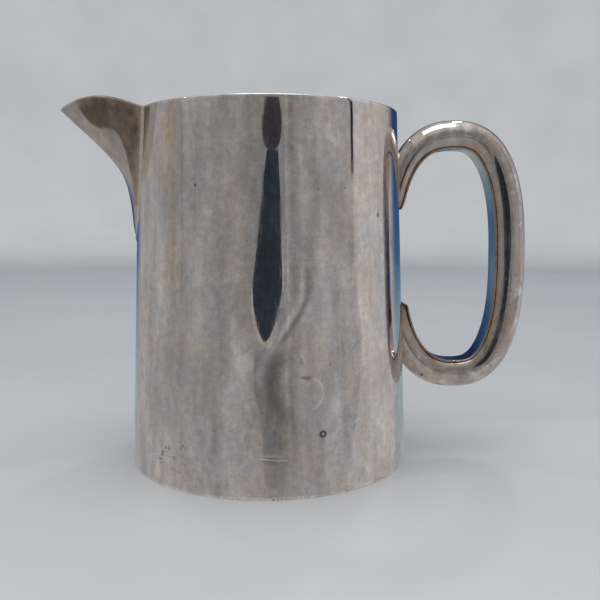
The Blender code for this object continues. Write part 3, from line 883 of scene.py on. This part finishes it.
def silver(name, clean=CLEAN, roughness=0.03, scratches=1.0, tarnish_and_painted_shade=1.0, painted_shade_amount=0.0, marks_and_painted_reflections=None):
    """Worn silver: clouds, a tarnished colour with painted shade by the painted layer, pits, hairline
    scratches and faint planishing; painted reflections too, where given.
    """
    material = bpy.data.materials.new(name)
    material.use_nodes = True
    graph = Graph(material.node_tree)
    shader = material.node_tree.nodes["Principled BSDF"]
    place = graph.node("ShaderNodeTexCoord").outputs["Object"]
    painted = graph.node("ShaderNodeAttribute", [("attribute_name", "tarnish_and_painted_shade")]).outputs["Fac"]
    pitted = graph.node("ShaderNodeAttribute", [("attribute_name", "pits")]).outputs["Fac"]

    clouds = graph.noise(place, 38, detail=5, roughness=0.6)
    blotches = graph.noise(place, 150, detail=4, roughness=0.65)
    grain = graph.noise(place, 1100, detail=2)
    wiped = graph.noise(place, 100, detail=4, roughness=0.55, stretch=(1, 1, 0.25), turn=(0, 0.55, 0))
    rubbed = graph.noise(place, 190, detail=4, roughness=0.6, stretch=(1, 1, 0.2), turn=(0, -0.8, 0.2))
    mottle = graph.noise(place, 330, detail=3, roughness=0.6)
    hue = graph.noise(place, 55, detail=4, roughness=0.6)
    uneven = graph.math("MULTIPLY_ADD", graph.minus(blotches, 0.5), 0.7, painted)
    uneven = graph.math("MULTIPLY_ADD", graph.minus(clouds, 0.5), 0.6, uneven)
    amount = graph.times(uneven, tarnish_and_painted_shade)
    shade = graph.ramp(
        graph.add(amount, 0.15),
        (0.0, POLISHED), (0.14, clean), (0.45, tuple(0.95 * c for c in clean)), (0.76, TAN), (1.0, BROWN),
        ease="LINEAR",
    )
    for layer in (
        graph.ramp(clouds, (0.38, 0.94), (0.62, 1.03)),
        graph.ramp(wiped, (0.40, 0.90), (0.60, 1.04)),
        graph.ramp(rubbed, (0.40, 0.91), (0.60, 1.05)),
        graph.ramp(grain, (0.32, 0.93), (0.64, 1.03)),
        graph.ramp(mottle, (0.38, 0.93), (0.60, 1.04)),
        graph.ramp(hue, (0.42, COOL), (0.58, WARM)),
    ):
        shade = graph.mix(1.0, shade, layer, "MULTIPLY")

    spots = graph.node("ShaderNodeTexVoronoi", Vector=place, Scale=700.0).outputs["Distance"]
    sparse = graph.noise(place, 210, detail=2)
    pit_size = graph.times(graph.minus(sparse, 0.44), pitted, 2.6)
    pit = graph.fade(graph.minus(pit_size, spots), -0.05, 0.08)
    shade = graph.mix(graph.times(pit, 0.55), shade, NEARLY_BLACK)

    hair = hairlines(graph, place)
    planish = graph.noise(place, 90, detail=1.5, roughness=0.4)
    height = graph.times(planish, 0.022 * MM)
    height = graph.math("MULTIPLY_ADD", hair, -0.0003 * MM * scratches, height)
    height = graph.math("MULTIPLY_ADD", pit, -0.02 * MM, height)
    wear = graph.math("MULTIPLY_ADD", graph.fade(clouds, 0.45, 0.7), 0.04, roughness)
    wear = graph.math("MULTIPLY_ADD", graph.fade(wiped, 0.5, 0.7), 0.03, wear)
    wear = graph.math("MULTIPLY_ADD", hair, 0.05 * scratches, wear)
    wear = graph.math("MULTIPLY_ADD", graph.math("MAXIMUM", amount, 0.0), 0.22, wear)
    wear = graph.math("MULTIPLY_ADD", pit, 0.25, wear)
    # Painted shade: the spout's painted dark reflection, laid into the colour as a dark brown.
    if painted_shade_amount:
        painted_shade_cover = graph.node("ShaderNodeAttribute", [("attribute_name", "stain_and_painted_shade")]).outputs["Fac"]
        ragged = graph.math("MULTIPLY_ADD", graph.minus(mottle, 0.5), 0.9, painted_shade_cover)
        shade = graph.mix(graph.times(graph.fade(ragged, 0.05, 0.95), painted_shade_amount), shade, (0.13, 0.105, 0.09))
    if marks_and_painted_reflections:
        tone, relief, stain_and_painted_shade = marks_and_painted_reflections(graph, place)
        shade = graph.mix(1.0, shade, tone, "MULTIPLY")
        shade = graph.mix(stain_and_painted_shade, shade, NEARLY_BLACK)
        height = graph.add(height, relief)

    graph.feed(shader.inputs["Base Color"], shade)
    graph.feed(shader.inputs["Metallic"], 1.0)
    graph.feed(shader.inputs["Roughness"], graph.math("MINIMUM", wear, 0.6))
    bumps = graph.node("ShaderNodeBump", Height=height)
    graph.feed(bumps.inputs["Strength"], 1.0)
    graph.feed(bumps.inputs["Distance"], 1.0)
    graph.feed(shader.inputs["Normal"], bumps.outputs[0])
    return material


def hairlines(graph, place):
    """Fine scratches in four directions, as 0 to 1."""
    total = 0.0
    for turn, stretch in (
        ((0, 0, 0), (1, 1, 0.03)),
        ((0, 0.5, 0.3), (1, 1, 0.05)),
        ((0, -0.9, 0.2), (1, 1, 0.05)),
        ((0, 1.45, 0.1), (1, 1, 0.04)),
    ):
        lines = graph.noise(place, 1500, detail=1, stretch=stretch, turn=turn)
        total = graph.math("ADD", graph.fade(lines, 0.62, 0.72), total)
    return total


def wall_sheet(graph, place):
    """The wall's outside unrolled: millimetres round from the near side, and height in millimetres."""
    axes = graph.node("ShaderNodeSeparateXYZ", Vector=place).outputs
    angle = graph.math("ARCTAN2", axes[0], graph.math("MULTIPLY", axes[1], -1.0))
    mean_radius = (FOOT_RADIUS + SHOULDER_RADIUS) / 2
    around = graph.times(angle, mean_radius / MM)
    height = graph.times(axes[2], 1 / MM)
    sheet = graph.node("ShaderNodeCombineXYZ", X=around, Y=height).outputs[0]
    radius = graph.math("SQRT", graph.add(graph.times(axes[0], axes[0]), graph.times(axes[1], axes[1])))
    cone = graph.math("MULTIPLY_ADD", axes[2], WALL_SLOPE, FOOT_RADIUS - SHEET * 0.6)
    outside = graph.math("GREATER_THAN", radius, cone)
    return around, height, sheet, outside


def wall_marks_and_painted_reflections(graph, place):
    """What a long life has left on the wall: knocks, folds, wiped-in lines, specks and patches; and painted
    reflections: pale and dark bands along the fold, a dim ring and a pale hook at the knock, and the spout's
    dark reflection beside its seam.
    """
    around, height, sheet, outside = wall_sheet(graph, place)

    # painted reflections along the folded line that runs down from the middle and round the knock: a pale
    # band, and a dark band beside it
    fold_at = graph.fade(height, 48, 86, -4.4, 12.8)
    along = graph.times(graph.fade(height, 42, 50), graph.fade(height, 100, 86))
    off_fold = graph.minus(around, fold_at)
    painted_pale_band = graph.times(graph.ridge(off_fold, 0.0, 2.8), along)
    painted_dark_band = graph.times(graph.ridge(off_fold, 2.6, 2.4), along, graph.fade(height, 60, 68))

    # the ring of the knock, and the hook in the middle of it, as a painted dim ring and a painted pale hook
    # of reflection; and dark spots in the knock
    ring = graph.oval(sheet, (13.5, 47), (13.5, 14.5))
    painted_dim_ring = graph.times(graph.ridge(ring, 1.0, 0.34), graph.fade(around, 14, 3))
    hook = graph.ridge(graph.oval(sheet, (14.6, 42.8), (6.6, 6.6)), 1.0, 0.14)
    hook = graph.times(hook, graph.fade(around, 15.5, 18.5))
    knock_spots = graph.weigh(
        (graph.spot(sheet, (14.3, 49.2), (3.6, 1.1), -4), 1.0),
        (graph.spot(sheet, (12.4, 56), (0.8, 2.2)), 0.6),
        (graph.spot(sheet, (24.3, 53.7), (0.5, 0.6)), 1.0),
    )

    # wiped lines and the browner strip beside the spout, a yellow-brown patch, and the wedge: a painted
    # reflection of the spout, darker and browner beside its seam
    line_at = graph.curve(height, (78, -37.8), (120, -38.0), (159, -39.2))
    left_line = graph.ridge(graph.minus(around, line_at), 0.0, 1.1)
    left_line = graph.times(left_line, graph.fade(height, 76, 96))
    strip = graph.times(graph.ridge(around, -44.5, 6.5), graph.fade(height, 62, 96))
    patch = graph.times(graph.spot(sheet, (-47.5, 146), (9, 9), core=0.0), graph.noise(place, 420, detail=3))
    wedge_at = graph.curve(height, (126, -69), (131, -64), (145, -58), (159, -54.8))
    wedge = graph.fade(graph.minus(around, wedge_at), 0.8, -0.8)
    wedge = graph.times(wedge, graph.fade(height, 122, 136), graph.fade(around, -92, -88))

    crease = graph.spot(sheet, (0.8, 16.9), (7.4, 0.5), -6.3, core=0.3)
    scratch = graph.weigh(
        (graph.spot(sheet, (37.3, 60.8), (8.2, 0.36), 41.5, core=0.2), 1.0),
        (graph.spot(sheet, (18.6, 95.8), (9.5, 0.18), -5, core=0.2), 0.7),
        (graph.spot(sheet, (28, 93), (5, 0.14), 62, core=0.2), 0.5),
        (graph.spot(sheet, (-12, 30), (6, 0.14), 25, core=0.2), 0.4),
    )
    specks = graph.weigh(
        (graph.spot(sheet, (-31.3, 125.4), (0.8, 1.0)), 1.0),
        (graph.spot(sheet, (52.4, 113.7), (1.1, 1.3)), 1.0),
        (graph.spot(sheet, (60.3, 111.2), (0.8, 0.8)), 1.0),
        (graph.spot(sheet, (32.6, 124.4), (0.6, 0.6)), 0.6),
        (graph.spot(sheet, (19.9, 123.8), (0.5, 0.5)), 0.7),
        (graph.spot(sheet, (1.5, 28), (0.5, 1.4)), 0.3),
    )
    burn = graph.oval(sheet, (20.9, 25.9), (1.7, 1.7))
    burn_ring = graph.ridge(burn, 0.62, 0.5)
    burn_halo = graph.fade(burn, 1.0, 1.9, 1.0, 0.0)

    # The bands, the ring, the hook and the wedge are painted reflection, lighter or darker; the rest are
    # wear and specks.
    change = graph.weigh(
        (painted_pale_band, 0.32), (painted_dark_band, -0.38), (painted_dim_ring, -0.30), (hook, 0.30), (crease, 0.12),
        (left_line, -0.16), (strip, -0.07), (wedge, -0.30), (burn_halo, -0.12), (scratch, -0.35),
    )
    tone = graph.math("MULTIPLY_ADD", change, outside, 1.0)
    grey = graph.node("ShaderNodeCombineColor", Red=tone, Green=tone, Blue=tone).outputs[0]
    brown = graph.times(graph.weigh((strip, 0.35), (patch, 1.1), (wedge, 0.5)), outside)
    tone = graph.mix(1.0, grey, graph.mix(brown, (1.0, 1.0, 1.0), (1.06, 0.90, 0.66)), "MULTIPLY")
    relief = graph.weigh(
        (painted_pale_band, 0.004 * MM), (hook, 0.03 * MM), (crease, 0.04 * MM),
        (knock_spots, -0.03 * MM), (scratch, -0.006 * MM), (burn_ring, -0.02 * MM),
    )
    stain_and_painted_shade = graph.weigh((specks, 0.75), (knock_spots, 0.45), (burn_ring, 0.9))
    stain_and_painted_shade = graph.math("MINIMUM", stain_and_painted_shade, 0.92)
    return tone, graph.times(relief, outside), graph.times(stain_and_painted_shade, outside)


# Stage


def stage_mesh(name, points, faces, material):
    mesh = bpy.data.meshes.new(name)
    mesh.from_pydata(points, [], faces)
    mesh.materials.append(material)
    piece = bpy.data.objects.new(name, mesh)
    bpy.context.scene.collection.objects.link(piece)
    return piece


def floor_material():
    material = bpy.data.materials.new("pale_board")
    material.use_nodes = True
    graph = Graph(material.node_tree)
    shader = material.node_tree.nodes["Principled BSDF"]
    place = graph.node("ShaderNodeTexCoord").outputs["Object"]
    clouds = graph.noise(place, 6, detail=4)
    colour = graph.ramp(clouds, (0.3, (0.66, 0.68, 0.70)), (0.7, (0.70, 0.715, 0.73)))
    graph.feed(shader.inputs["Base Color"], colour)
    graph.feed(shader.inputs["Roughness"], 0.3)
    graph.feed(shader.inputs["Specular IOR Level"], 0.3)
    return material


def make_floor():
    """A pale floor that curves up into a pale backdrop. The silver mirrors the world's room instead."""
    profile = [(0.0001, 0.0), (0.4, 0.0), (1.3, 0.0)]
    bend = np.linspace(0, math.pi / 2, 13)[1:]
    profile += [(1.3 + 0.7 * math.sin(a), 0.7 - 0.7 * math.cos(a)) for a in bend]
    profile += [(2.0, 3.0)]
    turn = np.linspace(0, 2 * math.pi, 96, endpoint=False)
    grid = np.array([[(r * math.cos(a), r * math.sin(a), z) for a in turn] for r, z in profile])
    sweep = lattice("floor", grid, wrap_columns=True)
    sweep.data.materials.append(floor_material())
    sweep.visible_glossy = False
    sweep.visible_diffuse = False


def flat_tone(name, colour):
    """A dull surface of one brightness, for what only the silver mirrors."""
    material = bpy.data.materials.new(name)
    material.use_nodes = True
    shader = material.node_tree.nodes["Principled BSDF"]
    shader.inputs["Base Color"].default_value = (0.0, 0.0, 0.0, 1.0)
    shader.inputs["Specular IOR Level"].default_value = 0.0
    shader.inputs["Emission Color"].default_value = (*colour, 1.0)
    shader.inputs["Emission Strength"].default_value = 1.0
    return material


def only_mirrored(piece):
    piece.visible_camera = False
    piece.visible_diffuse = False
    piece.visible_shadow = False


def card(name, outline, distance, colour):
    """An upright card facing the pitcher. The outline is (left, right, height) from the bottom up."""
    points = [(left, -distance, z) for left, _, z in outline]
    points += [(right, -distance, z) for _, right, z in reversed(outline)]
    piece = stage_mesh(name, points, [tuple(range(len(points)))], flat_tone(name + "_tone", colour))
    only_mirrored(piece)


def make_camera_stand():
    """A dark camera on a draped stand, mirrored down the middle of the wall, with the cloth's pale edge."""
    hem = STAND_WIDEST_AT - STAND_DROP
    heights = [*np.linspace(hem, STAND_WIDEST_AT, 12), *np.linspace(STAND_WIDEST_AT, STAND_TOP, 8)[1:]]
    drape = []
    for z in heights:
        below = max(0.0, STAND_WIDEST_AT - z) / STAND_CURVE
        half = STAND_HALF_WIDTH * (1 - below**2) - STAND_TAPER * max(0.0, z - STAND_WIDEST_AT)
        centre = STAND_MIDDLE + STAND_LEAN * (z - STAND_WIDEST_AT)
        drape.append((centre - half, centre + half, z))
    camera = []
    for turn in np.linspace(-0.94, 0.94, 14) * math.pi / 2:
        half = STAND_CAMERA_HALF[0] * math.cos(turn) ** 0.8
        z = STAND_CAMERA[1] + STAND_CAMERA_HALF[1] * math.sin(turn)
        camera.append((STAND_CAMERA[0] - half, STAND_CAMERA[0] + half, z))
    card("stand_drape", drape, STAND_DISTANCE, (0.028, 0.036, 0.050))
    card("stand_camera", camera, STAND_DISTANCE, (0.050, 0.042, 0.052))
    edge = [(left - 0.020, right + 0.020, z - 0.014) for left, right, z in drape if z < 0.22]
    card("stand_edge", edge, STAND_DISTANCE + 0.01, (0.40, 0.37, 0.35))


def area_light(name, place, target, size, power):
    data = bpy.data.lights.new(name, "AREA")
    data.shape = "SQUARE"
    data.size = size
    data.energy = power
    light = bpy.data.objects.new(name, data)
    light.location = place
    direction = np.array(target) - np.array(place)
    light.rotation_euler = (
        math.atan2(math.hypot(direction[0], direction[1]), -direction[2]),
        0,
        math.atan2(direction[0], -direction[1]) + math.pi,
    )
    light.visible_camera = False
    bpy.context.scene.collection.objects.link(light)


def make_lights():
    area_light("back_left", (-0.55, 0.80, 1.15), (0, 0, 0.1), 0.035, 0.6)
    area_light("back_right", (0.38, 0.70, 1.00), (0, 0, 0.1), 0.06, 0.8)
    area_light("top", (0.0, -0.1, 1.6), (0, 0, 0), 0.9, 5)


def grey(level):
    """A slightly warm grey of a given brightness."""
    return (1.04 * level, 0.985 * level, 0.975 * level)


def make_world():
    """Plain pale light for the floor. What the silver mirrors is a quiet room with a dim backdrop behind."""
    world = bpy.data.worlds.new("studio")
    bpy.context.scene.world = world
    world.use_nodes = True
    world.node_tree.nodes.clear()
    graph = Graph(world.node_tree)
    direction = graph.node("ShaderNodeTexCoord").outputs["Generated"]
    axes = graph.node("ShaderNodeSeparateXYZ", Vector=direction).outputs
    azimuth = graph.math("DEGREES", graph.math("ARCTAN2", axes[0], graph.math("MULTIPLY", axes[1], -1.0)))
    elevation = graph.math("DEGREES", graph.math("ARCSINE", axes[2]))
    mirrored = mirrored_room(graph, direction, azimuth, elevation)
    rays = graph.node("ShaderNodeLightPath").outputs
    seen = graph.mix(rays["Is Glossy Ray"], (0.72, 0.725, 0.735), mirrored)
    background = graph.node("ShaderNodeBackground", Color=seen)
    output = graph.node("ShaderNodeOutputWorld", Surface=background.outputs[0])
    output.is_active_output = True


def scaled(graph, colour, factor):
    return graph.mix(1.0, colour, (factor,) * 3, "MULTIPLY")


def mirrored_room(graph, direction, azimuth, elevation):
    """Brightness by direction. Azimuth is 0 towards the camera and positive to the right."""

    def at(angle):
        return angle / 360 + 0.5

    turn = graph.math("MULTIPLY_ADD", azimuth, 1 / 360, 0.5)
    left = graph.ramp(
        turn,
        (at(-150), grey(0.42)),
        (at(-104), grey(0.39)),
        (at(-79), grey(0.325)),
        (at(-58), grey(0.335)),
        (at(-32), grey(0.315)),
        (at(-17), grey(0.25)),
        (at(17), grey(0.26)),
        (at(31), grey(0.33)),
        (at(56), grey(0.39)),
        (at(72), grey(0.375)),
    )
    right = graph.ramp(
        turn, (at(60), grey(0.48)), (at(94), grey(0.53)), (at(117), grey(0.50)), (at(150), grey(0.45))
    )
    wall_end = graph.add(
        75, graph.times(graph.ridge(elevation, -7, 7), 6), graph.times(graph.fade(elevation, -11, -18), -12)
    )
    past_end = graph.minus(azimuth, wall_end)
    room = graph.mix(graph.fade(past_end, -0.6, 0.6), left, right)
    slot = graph.times(graph.ridge(past_end, -0.8, 2.2), graph.fade(elevation, 6.5, 7.0))
    room = graph.mix(graph.math("MINIMUM", graph.times(slot, 1.6), 1.0), room, (0.01, 0.014, 0.03))
    bands = ((14.8, 2.0, 1.25), (19.5, 2.6, 0.9), (27, 3, 1.10), (-41, 5, 0.95), (44, 4, 1.06))
    for centre, width, change in bands:
        room = graph.mix(graph.ridge(azimuth, centre, width), room, scaled(graph, room, change))
    soft = graph.noise(direction, 5, detail=3, stretch=(1, 1, 0.35))
    room = graph.mix(1.0, room, graph.ramp(soft, (0.35, 0.96), (0.65, 1.04)), "MULTIPLY")
    for centre, width, start, end, change in ((-20, 22, -2, -7, 1.35), (18, 14, -1, -5, 1.25)):
        low = graph.times(graph.ridge(azimuth, centre, width), graph.fade(elevation, start, end))
        room = graph.mix(low, room, scaled(graph, room, change))

    # the floor, with the stand's shadow across it
    lane_start = graph.fade(elevation, -8, -14, -12, -6)
    into_lane = graph.minus(azimuth, lane_start)
    lane = graph.times(graph.fade(into_lane, -0.5, 0.8), graph.fade(into_lane, 6, 42, 1.0, 0.0))
    lane = graph.times(lane, graph.fade(elevation, -6.5, -8.5))
    room = graph.mix(graph.times(lane, 0.62), room, (0.12, 0.125, 0.14))

    backdrop = graph.ramp(
        graph.fade_linear(elevation, -12, 14),
        (0.0, (0.33, 0.40, 0.44)),
        (0.20, (0.19, 0.30, 0.38)),
        (0.38, (0.048, 0.115, 0.25)),
        (0.55, (0.032, 0.088, 0.22)),
        (1.0, (0.020, 0.035, 0.10)),
        ease="LINEAR",
    )
    behind = graph.math("MAXIMUM", graph.fade(azimuth, 121, 142), graph.fade(azimuth, -137, -158))
    open_above = graph.fade(elevation, 28, 45, 1.0, 0.0)
    room = graph.mix(graph.times(behind, open_above), room, backdrop)
    room = graph.mix(graph.fade(elevation, 28, 60), room, grey(0.66))
    room = graph.mix(graph.fade(elevation, 62, 78), room, grey(0.95))
    return graph.mix(graph.fade(elevation, -12, -24), room, grey(0.42))


def make_camera():
    """At the photograph's viewing angle: 0.34 m in front, about two thirds of the way up."""
    data = bpy.data.cameras.new("camera")
    data.sensor_width = 36
    data.lens = VIEW_LENS
    data.clip_start = 0.01
    camera = bpy.data.objects.new("camera", data)
    camera.location = VIEW_PLACE
    camera.rotation_euler = (math.pi / 2 - VIEW_DOWN, 0, -VIEW_TO_RIGHT)
    bpy.context.scene.collection.objects.link(camera)
    bpy.context.scene.camera = camera


def finish_piece(piece, node, material):
    piece.data.materials.clear()
    piece.data.materials.append(material)
    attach(piece, "root")
    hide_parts(node)


def main():
    body = silver("body_silver_worn_and_painted_reflections", marks_and_painted_reflections=wall_marks_and_painted_reflections)
    base = silver("base_silver_worn")
    spout = silver("spout_silver_worn_and_painted_shade", clean=(0.58, 0.53, 0.50), painted_shade_amount=0.70)
    handle = silver("handle_silver_worn", clean=(0.62, 0.575, 0.54), scratches=0.7)
    solder = silver("solder_worn", clean=(0.70, 0.66, 0.60), roughness=0.2, scratches=0.5)
    finish_piece(make_wall(), "body_wall", body)
    finish_piece(make_base(), "base_plate", base)
    finish_piece(make_base_fillet(), "base_solder", solder)
    finish_piece(make_spout(), "spout", spout)
    finish_piece(make_spout_fillet(), "spout_solder", solder)
    finish_piece(make_handle_back(), "handle_shell", handle)
    finish_piece(make_handle_strap(), "handle_strap", handle)
    for end, upper in (("upper", True), ("lower", False)):
        run = make_handle_fillet(f"handle_{end}_fillet", upper)
        finish_piece(run, f"handle_{end}_solder", solder)
    make_floor()
    make_camera_stand()
    make_lights()
    make_world()
    make_camera()
    bpy.context.scene.view_settings.view_transform = "Standard"


main()
